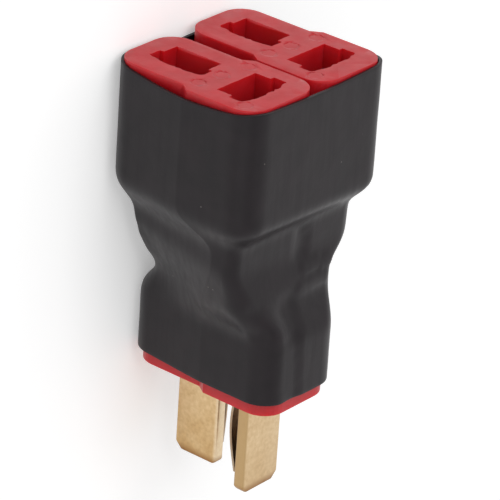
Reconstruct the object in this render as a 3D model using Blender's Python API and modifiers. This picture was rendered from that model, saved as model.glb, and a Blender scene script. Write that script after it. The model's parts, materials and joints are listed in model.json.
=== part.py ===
# Parallel battery adapter: two moulded sockets side by side, soldered back to back to one
# moulded plug and closed in a single shrunk sleeve.
# Its poles make a T: the stem pole runs along the housings, and the cross pole across their
# wider half. All pieces are drawn upright, with the blade tips at z = 0, the sockets up and the
# cross pole at +X. The blade tips are too narrow to stand on, so the adapter then lies down on
# its stem side, where the sleeve is flat over both the sockets and the plug.

import math

import bmesh
import bpy
from mathutils import Matrix, Vector

MM = 0.001

# Moulded housings. Sockets and plug share one keyed outline, wider at the cross pole.
HOUSING_LENGTH = 16.2 * MM
HOUSING_WIDTH = 9.0 * MM
KEY_STEP = 0.68 * MM  # the stem half is set in by this on each side
KEY_STEP_X = 0.3 * MM
KEY_STEP_RUN = 1.0 * MM
HOUSING_CORNER = 2.2 * MM
FACE_EDGE = 0.15 * MM
SOCKET_HEIGHT = 11.6 * MM
PLUG_HEIGHT = 7.6 * MM
SOCKET_GAP = 0.3 * MM
TAIL_ROOM = 11.7 * MM  # from the plug's back to the sockets' backs

# Poles: the middle of each blade's width, and the plane where blade and plate touch.
STEM_X = -3.25 * MM
STEM_CONTACT_Y = -0.1 * MM
CROSS_CONTACT_X = 4.4 * MM
CROSS_Y = 0.0 * MM

# Plug blades and the bow springs behind them.
BLADE_WIDTH = 4.8 * MM
BLADE_THICK = 1.15 * MM
BLADE_REACH = 9.8 * MM
TIP_CHAMFER = 0.9 * MM
BLADE_EDGE = 0.3 * MM
SPRING_WIDTH = 4.2 * MM
SPRING_THICK = 0.25 * MM
SPRING_BOW = {"stem": 0.3 * MM, "cross": 0.75 * MM}  # the stem's leaf has been pressed flatter
SPRING_TIP = 1.7 * MM  # above the blade's tip
SPRING_RISE = 1.2 * MM  # inside the plug, above its face, where the bow begins
SPRING_ROOT = 5.8 * MM  # inside the plug, above its face

# Socket pockets and the flat terminal plates along their walls.
POCKET_PLAY = 0.15 * MM  # beside the blade, on each side
POCKET_THICK = 1.9 * MM
POCKET_DEPTH = 10.3 * MM
SLOT_BOW = 0.4 * MM  # the wall behind the plate is hollowed by this in its middle
SLOT_LIP = 0.2 * MM  # the slot's ends reach this far past the contact plane
PLATE_WIDTH = 5.8 * MM
PLATE_THICK = 1.0 * MM
PLATE_SET_BACK = 1.6 * MM  # below the socket's face
PLATE_EDGE = 0.15 * MM
TAIL_LENGTH = 4.9 * MM  # below the socket's back
SEAT_GAP = 0.1 * MM  # between pieces that touch

# Ejector pin marks on a socket's face, from the socket's middle.
PIN_MARKS = ((0.8, 0.1), (0.5, -2.6), (1.2, 3.1), (6.3, -3.3))
PIN_MARK_RADIUS = 0.7 * MM
PIN_MARK_DEPTH = 0.12 * MM

# Copper straps that join the tails of one pole, and their solder.
STRAP_THICK = 0.6 * MM
STRAP_BELOW_TAIL = 1.1 * MM
STRAP_RISE = 4.0 * MM
STRAP_BEND = 0.5 * MM  # inside the bend
STEM_STRAP_WIDTH = 4.4 * MM
CROSS_STRAP_SHORT = 1.15 * MM  # from the strap's end to the outer edge of the tails
SOLDER_LEG = 0.8 * MM
SOLDER_SHORT = 0.4 * MM  # from a bead's end to the edge of its tail
SOLDER_HOLLOW = 0.25  # share of the leg by which a bead's face is hollow
COLLAR_HEIGHT = 1.1 * MM
COLLAR_SIDE = 0.35 * MM
COLLAR_FRONT = 0.7 * MM
COLLAR_TAPER = 0.35 * MM

# Shrunk sleeve.
SLEEVE_WALL_SOCKETS = 0.35 * MM
SLEEVE_WALL_PLUG = 0.45 * MM  # the film is thicker where it has shrunk further
SLEEVE_TOP = 0.1 * MM  # below the sockets' faces, at its corners
SLEEVE_SAG_Y = 0.8 * MM  # the edge is lower by this at the middle of the sides along the sockets
SLEEVE_SAG_X = 0.3 * MM  # and by this at the middle of the sides across them
SLEEVE_BOTTOM = 1.3 * MM  # above the plug's face
SHOULDER_DROP = 1.8 * MM  # over which it folds in under the sockets
FOLD_LEAN = 0.25 * MM  # the fold's slope from corner to corner, as a rise over the sockets' length
TAIL_SLACK = 0.1 * MM  # between the film and the tails' sharp corners
WAIST_PLACE = 0.55  # share of the way down from the tails' ends to the plug's back
WAIST_DRAW = 0.85  # how far it draws in there, as a share of its neighbours
WAIST_ROUND = 1.5 * MM
FILM_CORNER_SEGMENTS = 8
FILM_SIDE_SEGMENTS = 3
CORNER_SEGMENTS = 8

PLUG_FACE_Z = BLADE_REACH
PLUG_BACK_Z = PLUG_FACE_Z + PLUG_HEIGHT
SOCKET_BACK_Z = PLUG_BACK_Z + TAIL_ROOM
SOCKET_FACE_Z = SOCKET_BACK_Z + SOCKET_HEIGHT
TAIL_END_Z = SOCKET_BACK_Z - TAIL_LENGTH
STRAP_Z = TAIL_END_Z - STRAP_BELOW_TAIL
SOCKET_Y = {"a": -(HOUSING_WIDTH + SOCKET_GAP) / 2, "b": (HOUSING_WIDTH + SOCKET_GAP) / 2}
POLES = {
    "stem": (STEM_X, STEM_CONTACT_Y, 0.0),
    "cross": (CROSS_CONTACT_X, CROSS_Y, math.pi / 2),
}
SKIN_SOCKETS = SEAT_GAP + SLEEVE_WALL_SOCKETS
SKIN_PLUG = SEAT_GAP + SLEEVE_WALL_PLUG
OVERCUT = 1.0 * MM  # how far a cutter runs past the face that it opens

for old in list(bpy.data.objects):
    bpy.data.objects.remove(old, do_unlink=True)

scene_collection = bpy.context.scene.collection
parts = bpy.data.collections.new("parallel_battery_adapter")
cutters = bpy.data.collections.new("cutters")
scene_collection.children.link(parts)
scene_collection.children.link(cutters)

# Laid down: the drawn +X is up, and the sockets face -X.
lying = bpy.data.objects.new("lying_on_stem_side", None)
parts.objects.link(lying)
lying.matrix_world = (Matrix.Translation((SOCKET_FACE_Z / 2, 0.0, HOUSING_LENGTH / 2 + SKIN_PLUG))
                      @ Matrix.Rotation(-math.pi / 2, 4, "Y"))


def material(name, colour, roughness, metallic=0.0):
    made = bpy.data.materials.new(name)
    made.use_nodes = True
    shader = made.node_tree.nodes["Principled BSDF"]
    shader.inputs["Base Color"].default_value = (*colour, 1.0)
    shader.inputs["Roughness"].default_value = roughness
    shader.inputs["Metallic"].default_value = metallic
    made.diffuse_color = (*colour, 1.0)
    return made


red_nylon = material("red_nylon", (0.50, 0.035, 0.045), 0.5)
gold_plate = material("gold_plated_brass", (0.60, 0.38, 0.15), 0.35, 1.0)
spring_steel = material("spring_steel", (0.12, 0.115, 0.11), 0.4, 1.0)
copper = material("tinned_copper", (0.62, 0.42, 0.33), 0.4, 1.0)
solder = material("solder", (0.55, 0.55, 0.56), 0.35, 1.0)
shrink_film = material("black_polyolefin", (0.032, 0.031, 0.032), 0.45)


def add_object(name, mesh, finish, place=Matrix.Identity(4)):
    made = bpy.data.objects.new(name, mesh)
    parts.objects.link(made)
    made.parent = lying
    made.matrix_basis = place
    if not mesh.materials:
        mesh.materials.append(finish)
    return made


def make_cutter(made):
    for home in list(made.users_collection):
        home.objects.unlink(made)
    cutters.objects.link(made)
    made.hide_render = True
    made.display_type = "WIRE"
    return made


def cut(target, cutter):
    boolean = target.modifiers.new("cut_" + cutter.name, "BOOLEAN")
    boolean.operation = "DIFFERENCE"
    boolean.solver = "EXACT"
    boolean.object = cutter


def bevel(target, width, angle, segments=2):
    rounding = target.modifiers.new("edges", "BEVEL")
    rounding.width = width
    rounding.segments = segments
    rounding.limit_method = "ANGLE"
    rounding.angle_limit = math.radians(angle)


def outline_mesh(name, outline, thickness):
    # A flat outline in XY, filled and given its thickness about z = 0.
    curve = bpy.data.curves.new(name, "CURVE")
    curve.dimensions = "2D"
    curve.fill_mode = "BOTH"
    curve.extrude = thickness / 2
    spline = curve.splines.new("POLY")
    spline.points.add(len(outline) - 1)
    for point, (x, y) in zip(spline.points, outline):
        point.co = (x, y, 0.0, 1.0)
    spline.use_cyclic_u = True
    drawn = bpy.data.objects.new(name + "_outline", curve)
    parts.objects.link(drawn)
    graph = bpy.context.evaluated_depsgraph_get()
    mesh = bpy.data.meshes.new_from_object(drawn.evaluated_get(graph))
    bpy.data.objects.remove(drawn, do_unlink=True)
    bpy.data.curves.remove(curve)
    shape = bmesh.new()
    shape.from_mesh(mesh)
    bmesh.ops.remove_doubles(shape, verts=shape.verts, dist=1e-6)
    bmesh.ops.recalc_face_normals(shape, faces=shape.faces)
    shape.to_mesh(mesh)
    shape.free()
    mesh.name = name
    return mesh


def box_mesh(name, low, high):
    shape = bmesh.new()
    middle = [(a + b) / 2 for a, b in zip(low, high)]
    size = [b - a for a, b in zip(low, high)]
    place = Matrix.Translation(middle) @ Matrix.Diagonal((*size, 1.0))
    bmesh.ops.create_cube(shape, size=1.0, matrix=place)
    mesh = bpy.data.meshes.new(name)
    shape.to_mesh(mesh)
    shape.free()
    return mesh


def box_cutter(name, low, high, place):
    return make_cutter(add_object(name, box_mesh(name, low, high), red_nylon, place))


def outline_cutter(name, outline, low_z, high_z, place):
    raised = place @ Matrix.Translation((0, 0, (low_z + high_z) / 2))
    return make_cutter(add_object(name, outline_mesh(name, outline, high_z - low_z), red_nylon, raised))


def pole_place(pole, y=0.0):
    # Pole pieces are drawn with the width along X and the contact plane at y = 0, facing -Y.
    pole_x, pole_y, turn = POLES[pole]
    return Matrix.Translation((pole_x, pole_y + y, 0.0)) @ Matrix.Rotation(turn, 4, "Z")


def arc(centre, radius, start, end, segments):
    for step in range(segments + 1):
        angle = start + (end - start) * step / segments
        yield (centre[0] + radius * math.cos(angle), centre[1] + radius * math.sin(angle))


def keyed_outline():
    # Rounded block, stepped in on both long sides towards the stem pole.
    end_x = HOUSING_LENGTH / 2 - HOUSING_CORNER
    wide_y = HOUSING_WIDTH / 2
    narrow_y = wide_y - KEY_STEP
    step_low = KEY_STEP_X - KEY_STEP_RUN / 2
    step_high = KEY_STEP_X + KEY_STEP_RUN / 2
    quarter = math.pi / 2

    def corner(x, y, number):
        return arc((x, y), HOUSING_CORNER, number * quarter, (number + 1) * quarter, CORNER_SEGMENTS)

    return [*corner(end_x, wide_y - HOUSING_CORNER, 0),
            (step_high, wide_y), (step_low, narrow_y),
            *corner(-end_x, narrow_y - HOUSING_CORNER, 1),
            *corner(-end_x, HOUSING_CORNER - narrow_y, 2),
            (step_low, -narrow_y), (step_high, -wide_y),
            *corner(end_x, HOUSING_CORNER - wide_y, 3)]


def plate_slot_outline():
    # Straight at its ends, where it holds the plate, and hollowed behind the plate's middle.
    half = PLATE_WIDTH / 2 + SEAT_GAP
    wall_y = -PLATE_THICK - 2 * SEAT_GAP
    radius = (half * half / SLOT_BOW + SLOT_BOW) / 2
    lean = math.asin(half / radius)
    centre = (0.0, wall_y - SLOT_BOW + radius)
    down = 1.5 * math.pi
    hollow = arc(centre, radius, down - lean, down + lean, CORNER_SEGMENTS)
    return [(half, SLOT_LIP), (-half, SLOT_LIP), *hollow]


def socket_housing(side):
    y = SOCKET_Y[side]
    middle_z = (SOCKET_BACK_Z + SOCKET_FACE_Z) / 2
    mesh = outline_mesh("socket_body", keyed_outline(), SOCKET_HEIGHT)
    housing = add_object("socket_housing_" + side, mesh, red_nylon, Matrix.Translation((0, y, middle_z)))
    bevel(housing, FACE_EDGE, 50)
    cavity_x = BLADE_WIDTH / 2 + POCKET_PLAY
    top = SOCKET_FACE_Z + OVERCUT
    floor_z = SOCKET_FACE_Z - POCKET_DEPTH
    for pole in POLES:
        place = pole_place(pole, y)
        # The blade's pocket and the plate's slot meet in a T, open to the back only where the
        # plate's tail goes through.
        pocket = box_cutter(f"pocket_{pole}_{side}", (-cavity_x, -SEAT_GAP, floor_z),
                            (cavity_x, POCKET_THICK, top), place)
        slot = outline_cutter(f"plate_slot_{pole}_{side}", plate_slot_outline(),
                              SOCKET_BACK_Z - OVERCUT, top, place)
        cut(housing, pocket)
        cut(housing, slot)
    for number, (mark_x, mark_y) in enumerate(PIN_MARKS, 1):
        mark = bmesh.new()
        bmesh.ops.create_cone(mark, cap_ends=True, segments=20, radius1=PIN_MARK_RADIUS,
                              radius2=PIN_MARK_RADIUS, depth=2 * PIN_MARK_DEPTH)
        mesh = bpy.data.meshes.new("pin_mark")
        mark.to_mesh(mesh)
        mark.free()
        spot = Matrix.Translation((mark_x * MM, y + mark_y * MM, SOCKET_FACE_Z))
        cut(housing, make_cutter(add_object(f"pin_mark_{number}_{side}", mesh, red_nylon, spot)))
    return housing


def plug_housing():
    middle_z = (PLUG_FACE_Z + PLUG_BACK_Z) / 2
    mesh = outline_mesh("plug_body", keyed_outline(), PLUG_HEIGHT)
    housing = add_object("plug_housing", mesh, red_nylon, Matrix.Translation((0, 0, middle_z)))
    bevel(housing, FACE_EDGE, 50)
    half_width = BLADE_WIDTH / 2 + SEAT_GAP
    start_z = PLUG_FACE_Z - OVERCUT
    for pole in POLES:
        place = pole_place(pole)
        spring_room = BLADE_THICK + SPRING_BOW[pole] + SPRING_THICK + 3 * SEAT_GAP
        blade_slot = box_cutter("blade_slot_" + pole, (-half_width, -SEAT_GAP, start_z),
                                (half_width, BLADE_THICK + SEAT_GAP, PLUG_BACK_Z + OVERCUT), place)
        spring_slot = box_cutter("spring_slot_" + pole, (-half_width, BLADE_THICK / 2, start_z),
                                 (half_width, spring_room, PLUG_FACE_Z + SPRING_ROOT + SEAT_GAP), place)
        cut(housing, blade_slot)
        cut(housing, spring_slot)
    return housing


def upright_plate(name, outline, thickness, near_y, place, finish, edge, round_angle=30):
    # The outline's own Y runs up; the plate's near face lies at near_y of its pole.
    mesh = outline_mesh(name, outline, thickness)
    stand = Matrix.Translation((0, near_y + thickness / 2, 0)) @ Matrix.Rotation(math.pi / 2, 4, "X")
    plate = add_object(name, mesh, finish, place @ stand)
    bevel(plate, edge, round_angle)
    return plate


def plug_blade(pole):
    half = BLADE_WIDTH / 2
    top = STRAP_Z - SEAT_GAP
    outline = [(-half, top), (-half, TIP_CHAMFER), (TIP_CHAMFER - half, 0.0),
               (half - TIP_CHAMFER, 0.0), (half, TIP_CHAMFER), (half, top)]
    return upright_plate("plug_blade_" + pole, outline, BLADE_THICK, 0.0, pole_place(pole),
                         gold_plate, BLADE_EDGE)


def socket_plate(pole, side):
    half = PLATE_WIDTH / 2
    top = SOCKET_FACE_Z - PLATE_SET_BACK
    outline = [(-half, TAIL_END_Z), (half, TAIL_END_Z), (half, top), (-half, top)]
    near_y = -SEAT_GAP - PLATE_THICK
    place = pole_place(pole, SOCKET_Y[side])
    return upright_plate(f"socket_plate_{pole}_{side}", outline, PLATE_THICK, near_y, place,
                         gold_plate, PLATE_EDGE)


def bent_strip(name, profile, width, thickness, place, finish, edge):
    # A strip whose middle surface follows a profile of (y, z) points, as wide as given along X.
    shape = bmesh.new()
    row = [shape.verts.new((-width / 2, y, z)) for y, z in profile]
    lengths = [shape.edges.new(pair) for pair in zip(row, row[1:])]
    swept = bmesh.ops.extrude_edge_only(shape, edges=lengths)["geom"]
    moved = [item for item in swept if isinstance(item, bmesh.types.BMVert)]
    bmesh.ops.translate(shape, verts=moved, vec=(width, 0, 0))
    mesh = bpy.data.meshes.new(name)
    shape.to_mesh(mesh)
    shape.free()
    strip = add_object(name, mesh, finish, place)
    wall = strip.modifiers.new("wall", "SOLIDIFY")
    wall.thickness = thickness
    wall.offset = 0.0
    wall.use_even_offset = True
    bevel(strip, edge, 60, 1)
    return strip


def bow_spring(pole):
    # A leaf that lies on the blade's back inside the plug, bows out and meets it near the tip.
    base_y = BLADE_THICK + SEAT_GAP + SPRING_THICK / 2
    rise_z = PLUG_FACE_Z + SPRING_RISE
    steps = 20
    profile = [(base_y, PLUG_FACE_Z + SPRING_ROOT)]
    for step in range(steps + 1):
        share = step / steps
        z = rise_z + (SPRING_TIP - rise_z) * share
        profile.append((base_y + SPRING_BOW[pole] * math.sin(math.pi * share), z))
    return bent_strip("bow_spring_" + pole, profile, SPRING_WIDTH, SPRING_THICK, pole_place(pole),
                      spring_steel, SPRING_THICK / 5)


def stem_strap():
    # A channel whose two legs stand against the stem tails; the plug's blade ends under it.
    half = STRAP_THICK / 2
    left = SOCKET_Y["a"] + half
    right = SOCKET_Y["b"] - SEAT_GAP - PLATE_THICK - SEAT_GAP - half
    base_z = STRAP_Z + half
    bend = STRAP_BEND + half
    top = STRAP_Z + STRAP_RISE
    profile = [(left, top)]
    profile += arc((left + bend, base_z + bend), bend, math.pi, 1.5 * math.pi, 5)
    profile += arc((right - bend, base_z + bend), bend, 1.5 * math.pi, 2 * math.pi, 5)
    profile.append((right, top))
    return bent_strip("bus_strap_stem", profile, STEM_STRAP_WIDTH, STRAP_THICK, pole_place("stem"),
                      copper, STRAP_THICK / 8)


def cross_strap():
    half = SOCKET_Y["b"] + PLATE_WIDTH / 2 - CROSS_STRAP_SHORT
    top = STRAP_Z + STRAP_RISE
    outline = [(-half, STRAP_Z), (half, STRAP_Z), (half, top), (-half, top)]
    return upright_plate("bus_strap_cross", outline, STRAP_THICK, 0.0, pole_place("cross"), copper,
                         STRAP_THICK / 8, 60)


def tail_solder(pole, side):
    # A bead in the corner under a tail's end, against the face of the strap.
    strap_face = 0.0
    away = -1.0
    if pole == "stem" and side == "b":
        strap_face = -PLATE_THICK - 2 * SEAT_GAP
        away = 1.0
    near = SEAT_GAP
    leg = SOLDER_LEG
    hollow = leg * SOLDER_HOLLOW
    middle = (leg - hollow) / 2
    corner = [(near, -near), (near + leg, -near), (near + middle, -near - middle), (near, -near - leg)]
    outline = [(strap_face + away * y, TAIL_END_Z + z) for y, z in corner]
    length = PLATE_WIDTH - 2 * SOLDER_SHORT
    mesh = outline_mesh(f"solder_{pole}_{side}", outline, length)
    # The outline's X runs along the pole's Y and its Y runs up.
    stand = Matrix(((0, 0, 1, 0), (1, 0, 0, 0), (0, 1, 0, 0), (0, 0, 0, 1)))
    return add_object(f"solder_{pole}_{side}", mesh, solder, pole_place(pole, SOCKET_Y[side]) @ stand)


def collar_solder(pole):
    # A collar of solder round the plug blade's end, under the strap.
    place = pole_place(pole)
    half_x = BLADE_WIDTH / 2 + COLLAR_SIDE
    low_y = -COLLAR_FRONT
    high_y = BLADE_THICK + COLLAR_FRONT
    top = STRAP_Z - SEAT_GAP
    mesh = box_mesh("solder_plug_" + pole, (-half_x, low_y, top - COLLAR_HEIGHT), (half_x, high_y, top))
    middle_y = BLADE_THICK / 2
    for vertex in mesh.vertices:
        if vertex.co.z < top - COLLAR_HEIGHT / 2:
            vertex.co.y += math.copysign(COLLAR_TAPER, middle_y - vertex.co.y)
    collar = add_object("solder_plug_" + pole, mesh, solder, place)
    bevel(collar, SEAT_GAP, 30, 1)
    room_x = BLADE_WIDTH / 2 + SEAT_GAP
    cut(collar, box_cutter("blade_room_" + pole, (-room_x, -SEAT_GAP, top - COLLAR_HEIGHT - OVERCUT),
                           (room_x, BLADE_THICK + SEAT_GAP, top + OVERCUT), place))
    return collar


def blend(first, second, share):
    return [a + (b - a) * share for a, b in zip(first, second)]


def keyed_middles(half_y):
    # Middles of the corner rounds of a keyed block that is half_y to each side, anticlockwise.
    end_x = HOUSING_LENGTH / 2 - HOUSING_CORNER
    step_x = KEY_STEP_X + KEY_STEP_RUN / 2
    wide_y = half_y - HOUSING_CORNER
    half = [(end_x, wide_y), (step_x, wide_y), (-end_x, wide_y - KEY_STEP)]
    return [Vector(point) for point in half] + [Vector((x, -y)) for x, y in reversed(half)]


def tail_middles():
    # The corners of the four tails, which hold the film out, anticlockwise.
    inner_x = CROSS_CONTACT_X + SEAT_GAP
    outer_x = inner_x + PLATE_THICK
    cross_y = SOCKET_Y["b"] + PLATE_WIDTH / 2
    stem_x = STEM_X - PLATE_WIDTH / 2
    stem_high = SOCKET_Y["b"] + STEM_CONTACT_Y - SEAT_GAP
    stem_low = SOCKET_Y["a"] + STEM_CONTACT_Y - SEAT_GAP - PLATE_THICK
    return [Vector(point) for point in
            ((outer_x, cross_y), (inner_x, cross_y), (stem_x, stem_high), (stem_x, stem_low),
             (inner_x, -cross_y), (outer_x, -cross_y))]


def waist_middles():
    # Halfway between tails and plug, and drawn in, but not onto the solder collars.
    room = WAIST_ROUND - SKIN_PLUG
    half = BLADE_WIDTH / 2 + COLLAR_SIDE
    least_y = half - room
    middles = []
    for tail, block in zip(tail_middles(), keyed_middles(HOUSING_WIDTH / 2)):
        point = (tail + block) / 2 * WAIST_DRAW
        least_x = CROSS_CONTACT_X + COLLAR_FRONT - room if point.x > 0 else half - STEM_X - room
        if tail.x < 0 or tail.x > CROSS_CONTACT_X + PLATE_THICK:
            point.x = math.copysign(max(least_x, abs(point.x)), point.x)
        point.y = math.copysign(max(least_y, abs(point.y)), point.y)
        middles.append(point)
    return middles


def film_outline(middles, radius):
    # The line of a film stretched round posts of one radius, with as many points on every
    # outline, so that unlike outlines can be lofted.
    sides = list(zip(middles, middles[1:] + middles[:1]))
    normals = [math.atan2(end.y - start.y, end.x - start.x) - math.pi / 2 for start, end in sides]
    points = []
    for number, (start, end) in enumerate(sides):
        before, after = normals[number - 1], normals[number]
        turn = (after - before + math.pi) % (2 * math.pi) - math.pi
        points += arc(start, radius, before, before + turn, FILM_CORNER_SEGMENTS)
        outwards = Vector((math.cos(after), math.sin(after))) * radius
        for step in range(1, FILM_SIDE_SEGMENTS):
            point = start + (end - start) * step / FILM_SIDE_SEGMENTS + outwards
            points.append((point.x, point.y))
    return points


def sleeve():
    # The film takes the form of what it shrinks on: both sockets, their tails, then the plug.
    # Between the tails' ends and the plug's back it draws in to a waist.
    socket_half_y = SOCKET_Y["b"] + HOUSING_WIDTH / 2
    sockets = (keyed_middles(socket_half_y), HOUSING_CORNER + SKIN_SOCKETS)
    tails = (tail_middles(), (SKIN_SOCKETS + SKIN_PLUG) / 2 + TAIL_SLACK)
    waist = (waist_middles(), WAIST_ROUND)
    plug = (keyed_middles(HOUSING_WIDTH / 2), HOUSING_CORNER + SKIN_PLUG)
    shape = bmesh.new()
    loops = []
    thickening = []  # how much of its extra thickness the film has on each loop

    def add_loop(z, form, share, lean=0.0):
        # With a lean, the loop runs lower at the corner of cross pole and socket b.
        loops.append([shape.verts.new((x, y, z - lean * (x + y) / HOUSING_LENGTH))
                      for x, y in film_outline(*form)])
        thickening.append(share)

    def add_stretch(from_z, from_form, to_z, to_form, shares, lean=0.0):
        # Loops on the way from one form to the next, eased at both ends.
        for step in (0.15, 0.35, 0.5, 0.65, 0.85, 1.0):
            ease = math.sin(math.pi / 2 * step) ** 2
            middles = blend(from_form[0], to_form[0], ease)
            radius, share = blend((from_form[1], shares[0]), (to_form[1], shares[1]), ease)
            add_loop(from_z + (to_z - from_z) * step, (middles, radius), share, lean)

    add_loop(SOCKET_FACE_Z - SLEEVE_TOP, sockets, 0.0)
    half_x = HOUSING_LENGTH / 2 + SKIN_SOCKETS
    half_y = socket_half_y + SKIN_SOCKETS
    for vertex in loops[0]:
        along, across = vertex.co.x / half_x, vertex.co.y / half_y
        vertex.co.z -= SLEEVE_SAG_Y * (1 - along * along) + SLEEVE_SAG_X * (1 - across * across)
    fold_z = SOCKET_BACK_Z - SEAT_GAP
    add_loop(SOCKET_BACK_Z + SOCKET_HEIGHT / 2, sockets, 0.0)
    add_loop(fold_z, sockets, 0.0, FOLD_LEAN)
    add_stretch(fold_z, sockets, fold_z - SHOULDER_DROP, tails, (0.0, 0.5), FOLD_LEAN)
    add_loop(TAIL_END_Z, tails, 0.5, FOLD_LEAN)
    waist_z = TAIL_END_Z + (PLUG_BACK_Z - TAIL_END_Z) * WAIST_PLACE
    add_stretch(TAIL_END_Z, tails, waist_z, waist, (0.5, 1.0))
    add_stretch(waist_z, waist, PLUG_BACK_Z, plug, (1.0, 1.0))
    add_loop(PLUG_FACE_Z + SLEEVE_BOTTOM, plug, 1.0)

    for upper, lower in zip(loops, loops[1:]):
        for number in range(len(upper)):
            following = (number + 1) % len(upper)
            shape.faces.new((upper[number], lower[number], lower[following], upper[following]))
    mesh = bpy.data.meshes.new("heat_shrink_sleeve")
    shape.to_mesh(mesh)
    shape.free()
    made = add_object("heat_shrink_sleeve", mesh, shrink_film)
    thicker = made.vertex_groups.new(name="shrunk_further")
    for number, share in enumerate(thickening):
        first = number * len(loops[0])
        thicker.add(range(first, first + len(loops[0])), share, "REPLACE")
    wall = made.modifiers.new("wall", "SOLIDIFY")
    wall.thickness = SLEEVE_WALL_PLUG
    wall.offset = -1.0
    wall.vertex_group = thicker.name
    wall.thickness_vertex_group = SLEEVE_WALL_SOCKETS / SLEEVE_WALL_PLUG
    mesh.shade_smooth()
    mesh.set_sharp_from_angle(angle=math.radians(40))
    return made


for side in SOCKET_Y:
    socket_housing(side)
    for pole in POLES:
        socket_plate(pole, side)
        tail_solder(pole, side)
plug_housing()
for pole in POLES:
    plug_blade(pole)
    bow_spring(pole)
    collar_solder(pole)
stem_strap()
cross_strap()
sleeve()
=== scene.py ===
# Parallel battery adapter: two red moulded sockets and a bladed plug in one shrunk black sleeve.
# It lies on its stem side. The sleeve and the blades are modelled upright, in millimetres from the
# middle of the sockets' faces, and then laid down onto the frame in one step. The sockets are
# reworked copies of their CAD nodes, which lie where they should from the start.
import json
import math
import random

import bpy
from mathutils import Matrix, Vector


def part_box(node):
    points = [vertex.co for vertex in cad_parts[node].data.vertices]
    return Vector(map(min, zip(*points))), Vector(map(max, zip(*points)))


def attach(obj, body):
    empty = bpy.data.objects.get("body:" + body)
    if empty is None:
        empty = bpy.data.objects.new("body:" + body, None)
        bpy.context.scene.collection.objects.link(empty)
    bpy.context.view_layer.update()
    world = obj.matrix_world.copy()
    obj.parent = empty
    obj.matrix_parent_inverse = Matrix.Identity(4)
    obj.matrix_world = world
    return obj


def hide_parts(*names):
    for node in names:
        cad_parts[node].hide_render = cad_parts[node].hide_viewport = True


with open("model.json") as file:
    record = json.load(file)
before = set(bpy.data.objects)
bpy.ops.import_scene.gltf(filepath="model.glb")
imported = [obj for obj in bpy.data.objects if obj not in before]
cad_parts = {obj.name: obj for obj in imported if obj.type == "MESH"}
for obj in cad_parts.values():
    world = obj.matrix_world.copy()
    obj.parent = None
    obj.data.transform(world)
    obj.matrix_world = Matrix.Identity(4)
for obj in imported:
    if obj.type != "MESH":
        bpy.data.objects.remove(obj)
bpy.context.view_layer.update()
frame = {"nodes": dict(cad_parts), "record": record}        # bodies, nodes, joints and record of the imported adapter
mm = 0.001
touching = 0.01          # millimetres within which two places count as one

plugLow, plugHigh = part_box("plug_housing")
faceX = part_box("socket_housing_a")[0].x           # the sockets' faces look towards -X
midZ = (plugLow.z + plugHigh.z) / 2               # height of the adapter's axis above the floor
layDown = Matrix.Translation((faceX, 0, midZ)) @ Matrix.Rotation(-math.pi / 2, 4, "Y")


def sRgb(hexColour):        # "#RRGGBB" to the linear values that a node wants
    channels = [int(hexColour[i:i + 2], 16) / 255 for i in (1, 3, 5)]
    linear = [c / 12.92 if c <= 0.04045 else ((c + 0.055) / 1.055) ** 2.4 for c in channels]
    return (*linear, 1.0)


def clamp(value, most=1.0):
    return min(max(value, 0.0), most)


def addNode(tree, kind, settings=None, **links):
    # One node: settings are its properties or sockets, links are sockets fed by other nodes.
    node = tree.nodes.new(kind)
    for name, value in (settings or {}).items():
        if hasattr(node, name):
            setattr(node, name, value)
        else:
            node.inputs[int(name) if name.isdigit() else name].default_value = value
    for name, source in links.items():
        key = name.replace("_", " ")
        numbered = key[0] == "i" and key[1:].isdigit()           # i0, i1 and so on
        tree.links.new(source, node.inputs[int(key[1:]) if numbered else key])
    return node


def makeActive(piece):
    for thing in bpy.context.selected_objects:
        thing.select_set(False)
    piece.select_set(True)
    bpy.context.view_layer.objects.active = piece


def unselect(piece, kind):
    # Nothing of the piece's mesh is selected, and its vertices, edges or faces can be chosen next.
    makeActive(piece)
    bpy.context.tool_settings.mesh_select_mode = [kind == k for k in ("vertices", "edges", "faces")]
    for things in (piece.data.vertices, piece.data.edges, piece.data.polygons):
        things.foreach_set("select", [False] * len(things))


def cornersOf(mesh, thing):
    # The places of an edge's or a face's vertices.
    return [mesh.vertices[i].co for i in thing.vertices]


def chooseEdges(piece, wanted):
    # Into edit mode with only those edges selected whose two ends are as wanted.
    unselect(piece, "edges")
    for edge in piece.data.edges:
        edge.select = wanted(*cornersOf(piece.data, edge))
    bpy.ops.object.mode_set(mode="EDIT")


def applyAll(piece):
    makeActive(piece)
    for modifier in list(piece.modifiers):
        bpy.ops.object.modifier_apply(modifier=modifier.name)


def settle(piece):
    # From upright millimetres to the lying frame in metres.
    piece.matrix_world = layDown @ Matrix.Scale(mm, 4)
    makeActive(piece)
    bpy.ops.object.transform_apply(location=True, rotation=True, scale=True)


def standFor(piece, node, slotName):
    # The finished piece shows in place of a CAD node, with the finish of its slot.
    piece.data.materials.append(finishes[slotName])
    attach(piece, "root")
    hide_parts(node)


# Studio
studio = {
    "floorSize": 3.0,
    "floorWhite": "#F4F4F4",
    "floorLift": 0.32,
    "skyOnThings": 0.55,
    "greySide": (-0.44, -0.70, 0.56),     # where the camera stands, from the adapter
    "greyFrom": 0.3,          # the grey starts where a direction agrees this much with greySide
    "greyness": 0.45,
    "softboxes": {
        "key softbox": {"place": (-0.42, -0.12, 0.5), "size": 0.5, "watts": 1.6},
        "fill softbox": {"place": (0.1, -0.6, 0.35), "size": 0.5, "watts": 0.5},
    },
}


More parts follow.
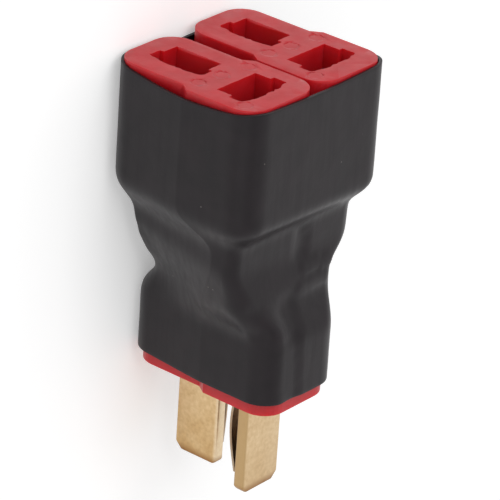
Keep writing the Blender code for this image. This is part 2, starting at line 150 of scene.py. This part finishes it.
def seenDirectly(tree):
    # 1 for what the camera sees, also in a reflection or through glass.
    path = addNode(tree, "ShaderNodeLightPath")
    seen = addNode(tree, "ShaderNodeMath", {"operation": "MAXIMUM"},
                   i0=path.outputs["Is Camera Ray"], i1=path.outputs["Is Glossy Ray"])
    return addNode(tree, "ShaderNodeMath", {"operation": "MAXIMUM"},
                   i0=seen.outputs[0], i1=path.outputs["Is Transmission Ray"]).outputs[0]


def buildFloor():
    bpy.ops.mesh.primitive_plane_add(size=studio["floorSize"])
    floor = bpy.context.object
    floor.name = "floor"
    # Matt white paper: the lamps leave it pale grey, so what the camera and reflections see of it
    # is lifted to white, and the shadow stays on it.
    made = bpy.data.materials.new("matt white paper")
    made.use_nodes = True
    tree = made.node_tree
    tree.nodes.clear()
    paper = addNode(tree, "ShaderNodeBsdfDiffuse", {"Color": sRgb(studio["floorWhite"])})
    strength = addNode(tree, "ShaderNodeMath", {"operation": "MULTIPLY", "1": studio["floorLift"]},
                       i0=seenDirectly(tree))
    lift = addNode(tree, "ShaderNodeEmission", {"Color": sRgb("#FFFFFF")},
                   Strength=strength.outputs[0])
    both = addNode(tree, "ShaderNodeAddShader", i0=paper.outputs[0], i1=lift.outputs[0])
    addNode(tree, "ShaderNodeOutputMaterial", Surface=both.outputs[0])
    floor.data.materials.append(made)


def buildSky():
    world = bpy.data.worlds.new("white studio")
    bpy.context.scene.world = world
    world.use_nodes = True
    tree = world.node_tree
    tree.nodes.clear()
    # One side of the tent is greyer, which shows in the film as a darker tone on what faces it.
    facing = addNode(tree, "ShaderNodeVectorMath",
                     {"operation": "DOT_PRODUCT", "1": studio["greySide"]},
                     i0=addNode(tree, "ShaderNodeTexCoord").outputs["Generated"])
    grey = addNode(tree, "ShaderNodeMapRange",
                   {"interpolation_type": "SMOOTHSTEP", "From Min": studio["greyFrom"],
                    "From Max": 1.0, "To Min": 1.0, "To Max": studio["greyness"]},
                   Value=facing.outputs["Value"])
    light = addNode(tree, "ShaderNodeBackground",
                    {"Color": sRgb("#FFFFFF"), "Strength": studio["skyOnThings"]})
    white = addNode(tree, "ShaderNodeBackground", {"Color": sRgb("#FFFFFF")},
                    Strength=grey.outputs[0])
    mix = addNode(tree, "ShaderNodeMixShader",
                  i0=seenDirectly(tree), i1=light.outputs[0], i2=white.outputs[0])
    addNode(tree, "ShaderNodeOutputWorld", Surface=mix.outputs[0])


def addSoftbox(name, place, size, watts):
    lamp = bpy.data.lights.new(name, "AREA")
    lamp.size = size
    lamp.energy = watts
    holder = bpy.data.objects.new(name, lamp)
    bpy.context.scene.collection.objects.link(holder)
    holder.location = place
    holder.rotation_mode = "QUATERNION"
    holder.rotation_quaternion = (Vector(place) - Vector((0, 0, midZ))).to_track_quat("Z", "Y")


# The photo's camera, round the upright adapter
shot = {
    "azimuth": 38.444,        # degrees, from -Y towards +X
    "elevation": 26.236,
    "roll": 3.821,
    "distance": 355.95,
    "aim": (1.361, 0.188, -18.128),
    "focalPixels": 4038.96,   # for a picture of 500 pixels
    "pixels": 500,
    "sensor": 36.0,
    "nearest": 0.01,          # metres
}


def buildCamera():
    around, above, tilt = (math.radians(shot[k]) for k in ("azimuth", "elevation", "roll"))
    level = math.cos(above)
    back = Vector((math.sin(around) * level, -math.cos(around) * level, math.sin(above)))
    right = (-back).cross(Vector((0, 0, 1))).normalized()
    up = right.cross(-back)
    rolledRight = right * math.cos(tilt) + up * math.sin(tilt)
    rolledUp = up * math.cos(tilt) - right * math.sin(tilt)
    place = (Vector(shot["aim"]) + back * shot["distance"]) * mm
    turned = Matrix((rolledRight, rolledUp, back)).transposed().to_4x4()
    data = bpy.data.cameras.new("camera")
    data.sensor_width = shot["sensor"]
    data.lens = shot["focalPixels"] / shot["pixels"] * shot["sensor"]
    data.clip_start = shot["nearest"]
    camera = bpy.data.objects.new("camera", data)
    bpy.context.scene.collection.objects.link(camera)
    camera.matrix_world = layDown @ Matrix.Translation(place) @ turned
    bpy.context.scene.camera = camera


print("studio, camera")
buildFloor()
buildSky()
for name, softbox in studio["softboxes"].items():
    addSoftbox(name, **softbox)
buildCamera()
bpy.context.scene.view_settings.view_transform = "Standard"


# Finishes
def newFinish(name, **sockets):
    # A material, its nodes, and the place on the piece, which all its patterns read.
    made = bpy.data.materials.new(name)
    made.use_nodes = True
    shader = made.node_tree.nodes["Principled BSDF"]
    for socket, value in sockets.items():
        shader.inputs[socket.replace("_", " ")].default_value = value
    place = addNode(made.node_tree, "ShaderNodeTexCoord").outputs["Object"]
    return made, made.node_tree, place


def complete(made, colour, gloss, normal):
    # gloss is a noise and the least and most roughness that it gives.
    tree = made.node_tree
    noise, least, most = gloss
    roughness = addNode(tree, "ShaderNodeMapRange", {"From Min": 0.3, "From Max": 0.7,
                                                     "To Min": least, "To Max": most}, Value=noise)
    shader = tree.nodes["Principled BSDF"]
    for name, source in (("Base Color", colour), ("Roughness", roughness.outputs[0]),
                         ("Normal", normal)):
        tree.links.new(source, shader.inputs[name])
    return made


def grain(tree, place, size, detail=2.0, stretch=(1, 1, 1), roughness=0.5):
    # A noise whose lumps are size millimetres across, longer by stretch along X, Y or Z. It stays
    # mostly between 0.3 and 0.7.
    placed = addNode(tree, "ShaderNodeMapping",
                     {"Scale": tuple(1 / (size * mm * s) for s in stretch)}, Vector=place)
    return addNode(tree, "ShaderNodeTexNoise",
                   {"Scale": 1.0, "Detail": detail, "Roughness": roughness},
                   Vector=placed.outputs[0]).outputs["Fac"]


def along(tree, place, axis, ends, values=(0.0, 1.0), base=0.0):
    # From one value to the other between two ends, in millimetres from base along one axis.
    start, end = (base + spot * mm for spot in ends)
    parts = addNode(tree, "ShaderNodeSeparateXYZ", Vector=place)
    return addNode(tree, "ShaderNodeMapRange", {"From Min": start, "From Max": end,
                                                "To Min": values[0], "To Max": values[1]},
                   Value=parts.outputs[axis]).outputs[0]


def shade(tree, noise, first, second, low=0.3, high=0.7):
    # Two hex colours: the first where the noise is low, the second where it is high.
    share = addNode(tree, "ShaderNodeMapRange", {"From Min": low, "From Max": high}, Value=noise)
    mix = addNode(tree, "ShaderNodeMix", {"data_type": "RGBA", "6": sRgb(first),
                                          "7": sRgb(second)}, Factor=share.outputs[0])
    return mix.outputs[2]


def layered(tree, colour, *layers):
    # Each layer covers what is under it by a share from 0 to 1, in a hex colour or a shade.
    for share, over in layers:
        mix = addNode(tree, "ShaderNodeMix", {"data_type": "RGBA"}, Factor=share, i6=colour)
        if isinstance(over, str):
            mix.inputs[7].default_value = sRgb(over)
        else:
            tree.links.new(over, mix.inputs[7])
        colour = mix.outputs[2]
    return colour


def bumps(tree, *layers):
    # Each layer is a height from 0 to 1 and how many millimetres it stands.
    normal = None
    for height, depth in layers:
        links = {"Height": height}
        if normal:
            links["Normal"] = normal
        normal = addNode(tree, "ShaderNodeBump", {"Strength": 1.0, "Distance": depth * mm},
                         **links).outputs[0]
    return normal


def mouldedNylonFinish():
    # Glass-filled nylon, injection moulded: a satin red that shines pale where it is flat, with a
    # faint orange peel from the mould, and light that soaks a little way in at thin walls.
    made, tree, place = newFinish("moulded red nylon", IOR=1.47, Subsurface_Weight=0.6,
                                  Subsurface_Radius=(1.0, 0.14, 0.11), Subsurface_Scale=2.4 * mm)
    patches = grain(tree, place, 2.6, detail=4)
    gloss = grain(tree, place, 1.1, detail=5)
    peel = grain(tree, place, 0.35, detail=3)
    sink = grain(tree, place, 3.0, detail=1)
    return complete(made, shade(tree, patches, "#B8111B", "#C61C27"), (gloss, 0.34, 0.5),
                    bumps(tree, (sink, 0.03), (peel, 0.008)))


# Where the brass's tone changes, and where its sides are painted paler as painted light or darker as painted shade,
# in millimetres along X, along Y, or along Z from the adapter's axis
brassToneAndPaintedLight = {
    "darkerX": (12, 20),        # darker from near the plug's face to the tips
    "tipX": (19.5, 20.15),
    "outsideX": (9, 10),      # where the blades come out of the plug
    "stemSideZ": (-1.25, -0.9),       # the stem's cut side and the flat beside its edge, painted paler: painted light
    "crossZ": (1, 2),         # from the stem to the cross
    "crossSideY": (-2.15, -2.35),     # the cross's side towards socket a, painted darker: painted shade
}


def platedBrassFinish():
    # Stamped brass with a thin gold flash: pale gold, mottled where the bath took unevenly, with
    # brush lines along the blade, darker in patches and towards the tips, and browner at the very tips.
    # The sides are painted paler or darker by how the light falls on them: painted light and painted
    # shade. Real brush lines are a few hundredths of a millimetre wide. These are coarser, so that
    # they show.
    made, tree, place = newFinish("gold plated brass", Metallic=1.0)
    mottle = grain(tree, place, 0.45, detail=6, roughness=0.62)
    lines = grain(tree, place, 0.12, detail=2, stretch=(22, 1, 1))
    patches = addNode(tree, "ShaderNodeMapRange", {"From Min": 0.3, "From Max": 0.7,
                                                   "To Min": 0.0, "To Max": 0.5},
                      Value=grain(tree, place, 2.4, detail=3))
    darkening = addNode(tree, "ShaderNodeMath", {"operation": "ADD"}, i0=patches.outputs[0],
                   i1=along(tree, place, 0, brassToneAndPaintedLight["darkerX"], (0.0, 0.6)))
    # Painted light: the stem's cut side and a thin band of the flat beside its edge are painted paler, like a
    # highlight, and the cross's flat a little paler.
    paintedLight = addNode(tree, "ShaderNodeMath", {"operation": "MULTIPLY"},
                   i0=along(tree, place, 2, brassToneAndPaintedLight["stemSideZ"], base=midZ),
                   i1=along(tree, place, 2, brassToneAndPaintedLight["crossZ"], (1.0, 0.3), midZ))
    # Painted shade: the cross's side towards socket a is painted darker where it stands out of the plug.
    paintedShade = addNode(tree, "ShaderNodeMath", {"operation": "MULTIPLY"},
                   i0=along(tree, place, 1, brassToneAndPaintedLight["crossSideY"]),
                   i1=along(tree, place, 0, brassToneAndPaintedLight["outsideX"]))
    tipPatches = addNode(tree, "ShaderNodeMapRange", {"From Min": 0.3, "From Max": 0.7,
                                                  "To Min": 0.75, "To Max": 1.0}, Value=mottle)
    tip = addNode(tree, "ShaderNodeMath", {"operation": "MULTIPLY"},
                  i0=along(tree, place, 0, brassToneAndPaintedLight["tipX"]), i1=tipPatches.outputs[0])
    colour = layered(tree, shade(tree, mottle, "#D4B486", "#E8D0A8"),
                     (darkening.outputs[0], shade(tree, mottle, "#B38F5F", "#CDA974")),
                     (paintedLight.outputs[0], shade(tree, mottle, "#D9BE98", "#EBD8B8")),
                     (paintedShade.outputs[0], "#B99A6E"), (tip.outputs[0], "#94683A"))
    return complete(made, colour, (mottle, 0.28, 0.46),
                    bumps(tree, (mottle, 0.012), (lines, 0.003)))


def springSteelFinish():
    # Cold rolled strip, hardened: rolling lines, drawn coarser than real ones so that they show,
    # and a brown tint.
    made, tree, place = newFinish("rolled spring steel", Metallic=1.0)
    tint = grain(tree, place, 1.5, detail=3)
    lines = grain(tree, place, 0.1, detail=2, stretch=(25, 1, 1))
    return complete(made, shade(tree, tint, "#A28468", "#AE9C86"), (lines, 0.26, 0.44),
                    bumps(tree, (lines, 0.004)))


def tinnedCopperFinish():
    # Annealed copper strip, dipped in tin: silvery with copper showing where it wiped thin.
    made, tree, place = newFinish("tinned copper", Metallic=1.0)
    thin = grain(tree, place, 1.2, detail=4)
    return complete(made, shade(tree, thin, "#C9C4BE", "#BE8A68", 0.45, 0.6), (thin, 0.3, 0.5),
                    bumps(tree, (thin, 0.02)))


def softSolderFinish():
    # Tin solder, cooled in air: bright grey with a frosted, slightly rippled skin.
    made, tree, place = newFinish("soft solder", Metallic=1.0)
    frost = grain(tree, place, 0.4, detail=4)
    return complete(made, shade(tree, frost, "#B4B4B8", "#D2D2D4"), (frost, 0.2, 0.42),
                    bumps(tree, (frost, 0.02)))


dust = {
    "apart": 1.7,             # millimetres between specks, if every cell had one
    "rim": 0.05,              # the speck's rim and core, as shares of that distance
    "core": 0.02,
    "bare": 0.66,             # share of the cells that have none
    "colour": "#6A6462",
}


def shrunkFilmFinish():
    # Cross-linked polyolefin tube, shrunk in hot air: near black and satin, with faint lines along
    # the tube, a soft unevenness from the heat, and a few specks of dust that stuck to it.
    made, tree, place = newFinish("shrunk polyolefin film", IOR=1.34)
    streaks = grain(tree, place, 0.55, detail=3, stretch=(14, 1, 1))
    clouds = grain(tree, place, 2.4, detail=4)
    pores = grain(tree, place, 0.2)
    cells = addNode(tree, "ShaderNodeTexVoronoi", {"Scale": 1 / (dust["apart"] * mm)},
                    Vector=place)
    speck = addNode(tree, "ShaderNodeMapRange", {"From Min": dust["rim"], "From Max": dust["core"]},
                    Value=cells.outputs["Distance"])
    pick = addNode(tree, "ShaderNodeSeparateColor", Color=cells.outputs["Color"])
    some = addNode(tree, "ShaderNodeMath", {"operation": "GREATER_THAN", "1": dust["bare"]},
                   i0=pick.outputs[0])
    specks = addNode(tree, "ShaderNodeMath", {"operation": "MULTIPLY"},
                     i0=speck.outputs[0], i1=some.outputs[0])
    colour = layered(tree, shade(tree, clouds, "#150F13", "#1E171B"),
                     (specks.outputs[0], dust["colour"]))
    return complete(made, colour, (streaks, 0.36, 0.46),
                    bumps(tree, (clouds, 0.03), (streaks, 0.003), (pores, 0.003)))


print("finishes")
finishes = {
    "red_nylon": mouldedNylonFinish(),
    "gold_plated_brass": platedBrassFinish(),
    "spring_steel": springSteelFinish(),
    "tinned_copper": tinnedCopperFinish(),
    "solder": softSolderFinish(),
    "black_polyolefin": shrunkFilmFinish(),
}
for part in frame["record"]["subparts"]:
    node = frame["nodes"][part["node"]]
    node.data.materials.clear()
    node.data.materials.append(finishes[part["material_slot"]])


# Shrunk sleeve: the film is stretched round six posts, one at each corner of the keyed outline,
# and the posts move and change their radius from station to station down the adapter.
film = {
    "cornerCuts": 14,         # columns round each post
    "sideCuts": (18, 18, 36, 18, 18, 36),         # columns between each post and the next
    "rowStep": 0.2,
    "tubeRadius": 10,         # of the round tube that it starts as
    "wallAtSockets": 0.3,
    "wallAtPlug": 0.5,        # it is thicker where it has shrunk further
    "thickensFrom": -11.0,
    "thickensOver": 12.0,
    "bendReach": 1.6,         # how far above and below a station its bend is rounded off
    "bendSteps": 7,
    "edgeTop": -0.05,         # the cut edge at the corners of the sockets' outline
    "edgeHalfX": 8.53,        # half that outline
    "edgeHalfY": 9.63,
    "sagLong": 0.75,          # how much lower the edge lies amid the long sides
    "sagShort": 0.35,
    "sagStem": 0.45,          # lower still along the stem side, away from its near corner
    "stemFrom": -5.0,         # that starts at this x and grows over the next length
    "stemOver": 1.5,
    "nearCorner": 6.0,        # and fades out this far from the middle
    "rimRound": 0.09,
    "rimSegments": 2,
    "rimAngle": 60,           # degrees
    "smoothAngle": 50,
    "unevenness": 0.05,
    "waveSize": 5.0,
    # Middles (x, y) and radii of the posts, anticlockwise from the cross pole's corner of socket b
    "sockets": (((5.9, 7.0), (0.8, 7.0), (-5.9, 6.3), (-5.78, -6.25), (0.8, -7.0), (5.9, -7.0)),
                (2.58, 2.58, 2.58, 2.58, 2.58, 2.58)),
    "tailTops": (((4.4, 6.2), (3.2, 6.2), (-6.15, 4.5), (-6.2, -5.9), (4.0, -7.2), (5.3, -7.1)),
                 (2.3, 2.3, 0.68, 0.68, 1.2, 1.2)),
    "tailEnds": (((4.4, 6.4), (3.3, 6.4), (-6.15, 4.45), (-6.15, -5.85), (4.0, -7.1), (5.0, -7.0)),
                 (2.0, 2.0, 0.68, 0.68, 1.2, 1.2)),
    "waist": (((4.75, 4.1), (2.6, 3.65), (-4.45, 1.95), (-4.4, -2.4), (2.2, -4.7), (5.1, -5.05)),
              (2.0, 2.0, 2.0, 2.0, 2.0, 2.1)),
    "plug": (((5.9, 2.3), (0.8, 2.3), (-5.9, 1.62), (-5.9, -1.62), (0.8, -2.3), (5.9, -2.3)),
             (2.72, 2.72, 2.72, 2.72, 2.72, 2.72)),
    # Each station: its posts, and how low it lies at each of them
    "stations": (
        ("sockets", (0.0, 0.0, 0.0, 0.0, 0.0, 0.0)),
        ("sockets", (-12.05, -11.7, -11.5, -11.5, -11.6, -11.85)),
        ("tailTops", (-13.4, -13.7, -14.0, -14.2, -13.9, -13.3)),
        ("tailEnds", (-17.5, -16.8, -16.2, -15.7, -16.3, -16.7)),
        ("waist", (-19.0, -19.6, -20.4, -20.9, -20.3, -20.3)),
        ("waist", (-21.9, -21.4, -21.0, -21.1, -20.5, -20.6)),
        ("plug", (-23.5, -23.4, -23.3, -23.4, -23.3, -23.2)),
        ("plug", (-29.6, -29.6, -29.6, -29.6, -29.6, -29.6)),
    ),
    # Folds and dents that the heat left: from, to, how far it is pulled (x, y, z), and its reach
    "folds": (
        # A hollow between the tails, a groove down the plug, and a dent on each side of a ridge
        ((6.1, 0.7, -12.9), (6.1, 0.9, -16.5), (-0.22, 0.0, 0.0), 1.3),
        ((8.6, -2.1, -24.1), (8.6, -1.8, -29.3), (-0.2, 0.0, 0.0), 1.4),
        ((7.0, -5.6, -20.9), (7.6, -5.4, -22.4), (-0.2, 0.22, 0.0), 1.6),
        ((7.3, -1.6, -21.2), (8.0, -1.7, -22.8), (-0.22, 0.0, 0.0), 1.6),
        # Two creases at the waist, and a lump on the stem side
        ((6.7, 1.6, -18.2), (6.5, 4.6, -18.6), (0.14, 0.0, 0.0), 0.7),
        ((6.9, 0.8, -20.0), (6.6, 4.2, -20.0), (0.14, 0.0, 0.0), 0.7),
        ((-6.3, -5.3, -17.6), (-6.1, -5.0, -18.4), (-0.16, -0.14, 0.0), 1.5),
    ),
    "foldWidth": 0.45,        # what lies this near a fold's line moves all the way
}


def filmOutline(posts, radii, lows):
    # One loop of the film, with the same number of points whatever the posts.
    posts = [Vector(post) for post in posts]
    ways = [posts[(i + 1) % 6] - posts[i] for i in range(6)]
    outs = [math.atan2(-way.x, way.y) + math.asin((radii[i] - radii[(i + 1) % 6]) / way.length)
            for i, way in enumerate(ways)]
    points = []
    for i in range(6):
        turn = (outs[i] - outs[i - 1] + math.pi) % (2 * math.pi) - math.pi
        for step in range(film["cornerCuts"]):
            angle = outs[i - 1] + turn * step / film["cornerCuts"]
            spot = posts[i] + Vector((math.cos(angle), math.sin(angle))) * radii[i]
            points.append((spot.x, spot.y, lows[i]))
        out = Vector((math.cos(outs[i]), math.sin(outs[i])))
        start = posts[i] + out * radii[i]
        end = posts[(i + 1) % 6] + out * radii[(i + 1) % 6]
        for step in range(film["sideCuts"][i]):
            share = step / film["sideCuts"][i]
            spot = start.lerp(end, share)
            points.append((spot.x, spot.y, lows[i] + (lows[(i + 1) % 6] - lows[i]) * share))
    return [Vector(point) for point in points]


def straightPoint(loops, column, z):
    # Where a column would be at height z if the film ran straight from station to station.
    for upper, lower in zip(loops, loops[1:]):
        a, b = upper[column], lower[column]
        if z >= b.z or lower is loops[-1]:
            return a.lerp(b, clamp((a.z - z) / (a.z - b.z)))


def filmPoint(loops, column, z):
    # The straight runs with their bends rounded off.
    steps = film["bendSteps"]
    offsets = [film["bendReach"] * step / steps for step in range(-steps, steps + 1)]
    spots = [straightPoint(loops, column, z + offset) for offset in offsets]
    weights = [1 + math.cos(math.pi * offset / film["bendReach"]) for offset in offsets]
    x, y = (sum(w * spot[axis] for w, spot in zip(weights, spots)) / sum(weights)
            for axis in (0, 1))
    return Vector((x, y, z))


def cutEdge(top):
    # Height of the film's cut edge at a point of the sockets' outline.
    edge = (film["edgeTop"] - film["sagLong"] * (1 - (top.x / film["edgeHalfX"]) ** 2)
            - film["sagShort"] * (1 - (top.y / film["edgeHalfY"]) ** 2))
    return edge - (film["sagStem"] * clamp(film["stemFrom"] - top.x, film["stemOver"])
                   * clamp((top.y + film["nearCorner"]) / film["nearCorner"]))


def pull(piece, start, end, by, reach):
    # Moves what lies near a line and lets its surroundings follow softly.
    way = end - start
    unselect(piece, "vertices")
    for vertex in piece.data.vertices:
        share = clamp((vertex.co - start).dot(way) / way.dot(way))
        vertex.select = (vertex.co - start - way * share).length < film["foldWidth"]
    bpy.ops.object.mode_set(mode="EDIT")
    bpy.ops.transform.translate(value=by, use_proportional_edit=True, proportional_size=reach,
                                proportional_edit_falloff="SMOOTH")
    bpy.ops.object.mode_set(mode="OBJECT")


def buildSleeve():
    loops = [filmOutline(*film[posts], lows) for posts, lows in film["stations"]]
    bottom = film["stations"][-1][1][0]
    columns = len(loops[0])
    rows = round(-bottom / film["rowStep"])
    bpy.ops.mesh.primitive_cylinder_add(vertices=columns, radius=film["tubeRadius"], depth=rows,
                                        end_fill_type="NOTHING")
    sleeve = bpy.context.object
    sleeve.name = "shrunk_sleeve"
    chooseEdges(sleeve, lambda a, b: abs(a.z - b.z) > 1)          # the upright ones
    bpy.ops.mesh.subdivide(number_cuts=rows - 1)
    bpy.ops.object.mode_set(mode="OBJECT")
    shrunk = sleeve.vertex_groups.new(name="shrunk further")
    for vertex in sleeve.data.vertices:
        turn = math.atan2(vertex.co.y, vertex.co.x) / (2 * math.pi)
        column = round(turn * columns) % columns
        share = 0.5 - vertex.co.z / rows
        edge = cutEdge(loops[0][column])
        z = edge + (bottom - edge) * share
        vertex.co = filmPoint(loops, column, z)
        shrunk.add([vertex.index], clamp((film["thickensFrom"] - z) / film["thickensOver"]),
                   "REPLACE")
    for start, end, by, reach in film["folds"]:
        pull(sleeve, Vector(start), Vector(end), by, reach)
    uneven = sleeve.modifiers.new("uneven", "DISPLACE")
    uneven.texture = bpy.data.textures.new("slow waves", "CLOUDS")
    uneven.texture.noise_scale = film["waveSize"]
    uneven.strength = film["unevenness"]
    wall = sleeve.modifiers.new("wall", "SOLIDIFY")
    wall.thickness = film["wallAtPlug"]
    wall.offset = -1
    wall.vertex_group = shrunk.name
    wall.thickness_vertex_group = film["wallAtSockets"] / film["wallAtPlug"]
    rim = sleeve.modifiers.new("rim", "BEVEL")
    rim.width = film["rimRound"]
    rim.segments = film["rimSegments"]
    rim.limit_method = "ANGLE"
    rim.angle_limit = math.radians(film["rimAngle"])
    applyAll(sleeve)
    bpy.ops.object.shade_smooth_by_angle(angle=math.radians(film["smoothAngle"]))
    settle(sleeve)
    standFor(sleeve, "heat_shrink_sleeve", "black_polyolefin")


print("sleeve")
buildSleeve()


# Plug blades: cut from strip, their tips chamfered and coined, their edges rounded
blades = {
    "top": -17.7,             # inside the plug
    "tip": -40.7,
    "edgeRound": 0.2,
    "roundSegments": 4,
    "creaseAngle": 30,        # degrees: sharper edges are rounded, flatter ones only shaded smooth
    # Each pole: its low and high corner (x, y), the axis of its width, and the tip's two chamfers
    "stem": {"low": (-5.65, -0.1), "high": (-0.85, 1.05), "wide": 0, "chamfers": (0.7, 0.32)},
    "cross": {"low": (3.25, -2.4), "high": (4.4, 2.4), "wide": 1, "chamfers": (0.5, 0.7)},
}


def buildBlade(pole):
    size = blades[pole]
    wide = size["wide"]
    low, high = (*size["low"], blades["tip"]), (*size["high"], blades["top"])
    middle = [(a + b) / 2 for a, b in zip(low, high)]
    bpy.ops.mesh.primitive_cube_add(size=1, location=middle)
    blade = bpy.context.object
    blade.name = "blade_" + pole
    blade.scale = [b - a for a, b in zip(low, high)]
    bpy.ops.object.transform_apply(location=True, rotation=True, scale=True)
    tipZ = blades["tip"] + touching
    for end, chamfer in zip((low[wide], high[wide]), size["chamfers"]):
        chooseEdges(blade, lambda *ends: all(abs(spot[wide] - end) < touching and spot.z < tipZ
                                             for spot in ends))
        bpy.ops.mesh.bevel(offset=chamfer, segments=1, affect="EDGES")
        bpy.ops.object.mode_set(mode="OBJECT")
    rounding = blade.modifiers.new("edges", "BEVEL")
    rounding.width = blades["edgeRound"]
    rounding.segments = blades["roundSegments"]
    rounding.limit_method = "ANGLE"
    rounding.angle_limit = math.radians(blades["creaseAngle"])
    applyAll(blade)
    bpy.ops.object.shade_smooth_by_angle(angle=math.radians(blades["creaseAngle"]))
    settle(blade)
    standFor(blade, "plug_blade_" + pole, "gold_plated_brass")


print("blades")
for pole in ("stem", "cross"):
    buildBlade(pole)


# Socket housings: the CAD body with what a worn mould leaves at its mouth
mouth = {
    "weld": 0.002,
    "pinMarkDepth": 0.12,     # as cut in the CAD body
    "pinMarkShown": 0.015,    # the marks are hardly more than a ring
    "lip": 0.3,               # the ragged rim reaches this deep into the walls
    "pocketsY": 3.4,          # the pockets lie this near the face's middle
    "pocketsZ": 6.9,
    "cuts": ((7, 2.4), (3, 0.9), (1, 0.5)),       # how many in a rim edge that is longer than this
    "ragged": 0.03,
    "flash": 0.14,            # more on the bowed walls, where the mould leaks
    "stemWallY": -1.25,       # where the bowed walls start, from the face's middle
    "crossWallZ": 5.55,
    "leastHeight": 0.02,      # a thinner sliver of the face would show as a dark line
    "smoothAngle": 18,        # degrees
    "seed": 7,
}


def copyOfNode(node, name):
    # A merged copy of a CAD node's mesh, which has loose triangles.
    source = frame["nodes"][node]
    piece = bpy.data.objects.new(name, source.data.copy())
    bpy.context.scene.collection.objects.link(piece)
    piece.matrix_world = source.matrix_world
    makeActive(piece)
    bpy.context.tool_settings.mesh_select_mode = (True, False, False)
    bpy.ops.object.transform_apply(location=True, rotation=True, scale=True)
    bpy.ops.object.mode_set(mode="EDIT")
    bpy.ops.mesh.select_all(action="SELECT")
    bpy.ops.mesh.remove_doubles(threshold=mouth["weld"] * mm)
    bpy.ops.object.mode_set(mode="OBJECT")
    piece.data.materials.clear()
    return piece


def inFront(*spots):
    return all(abs(spot.x - faceX) < touching * mm for spot in spots)


def rimEdge(a, b, y):
    # An edge of a pocket's mouth: it lies in the socket's face, inside its outline.
    middle = (a + b) / 2
    return (inFront(a, b) and abs(middle.y - y) < mouth["pocketsY"] * mm
            and abs(middle.z - midZ) < mouth["pocketsZ"] * mm)


def staysOpen(mesh, face):
    # Whether a face in the socket's front still looks outwards and is no sliver.
    spots = cornersOf(mesh, face)
    for i, spot in enumerate(spots):
        before, after = spots[i - 1] - spot, spots[(i + 1) % len(spots)] - spot
        longest = max(before.length, after.length)
        if -after.cross(before).x < mouth["leastHeight"] * mm * longest:
            return False
    return True


def roughenRims(mesh, y, seed):
    # Each point of the rims moves a little within the face, unless that would fold a face over.
    dice = random.Random(seed)
    rims = {i for edge in mesh.edges if rimEdge(*cornersOf(mesh, edge), y) for i in edge.vertices}
    around = {index: [] for index in rims}
    for face in mesh.polygons:
        if inFront(*cornersOf(mesh, face)):
            for index in rims.intersection(face.vertices):
                around[index].append(face)
    for index in sorted(rims):
        before = mesh.vertices[index].co.copy()
        stemWall = before.z < midZ and before.y < y + mouth["stemWallY"] * mm
        crossWall = before.z > midZ + mouth["crossWallZ"] * mm
        shift = mouth["flash" if stemWall or crossWall else "ragged"] * mm
        move = Vector((0, dice.uniform(-shift, shift), dice.uniform(-shift, shift)))
        mesh.vertices[index].co += move
        if not all(staysOpen(mesh, face) for face in around[index]):
            mesh.vertices[index].co = before


def buildSocket(side):
    node = "socket_housing_" + side
    low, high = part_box(node)
    y = (low.y + high.y) / 2
    housing = copyOfNode(node, "red_socket_" + side)
    mesh = housing.data
    for vertex in mesh.vertices:
        if abs(vertex.co.x - faceX - mouth["pinMarkDepth"] * mm) < touching * mm:
            vertex.co.x = faceX + mouth["pinMarkShown"] * mm
    # A cut all round keeps the ragged lip out of the walls below it.
    bpy.ops.object.mode_set(mode="EDIT")
    bpy.ops.mesh.select_all(action="SELECT")
    bpy.ops.mesh.bisect(plane_co=(faceX + mouth["lip"] * mm, 0, 0), plane_no=(1, 0, 0))
    bpy.ops.object.mode_set(mode="OBJECT")
    for cuts, least in mouth["cuts"]:
        chooseEdges(housing, lambda a, b: rimEdge(a, b, y) and (a - b).length > least * mm)
        bpy.ops.mesh.subdivide(number_cuts=cuts)
        bpy.ops.object.mode_set(mode="OBJECT")
    # The front becomes even triangles, which bear the roughening best.
    unselect(housing, "faces")
    for face in mesh.polygons:
        face.select = inFront(*cornersOf(mesh, face))
    bpy.ops.object.mode_set(mode="EDIT")
    bpy.ops.mesh.quads_convert_to_tris()
    bpy.ops.mesh.beautify_fill()
    bpy.ops.object.mode_set(mode="OBJECT")
    roughenRims(mesh, y, mouth["seed"] + ord(side))
    bpy.ops.object.shade_smooth_by_angle(angle=math.radians(mouth["smoothAngle"]))
    standFor(housing, node, "red_nylon")


print("sockets")
for side in "ab":
    buildSocket(side)
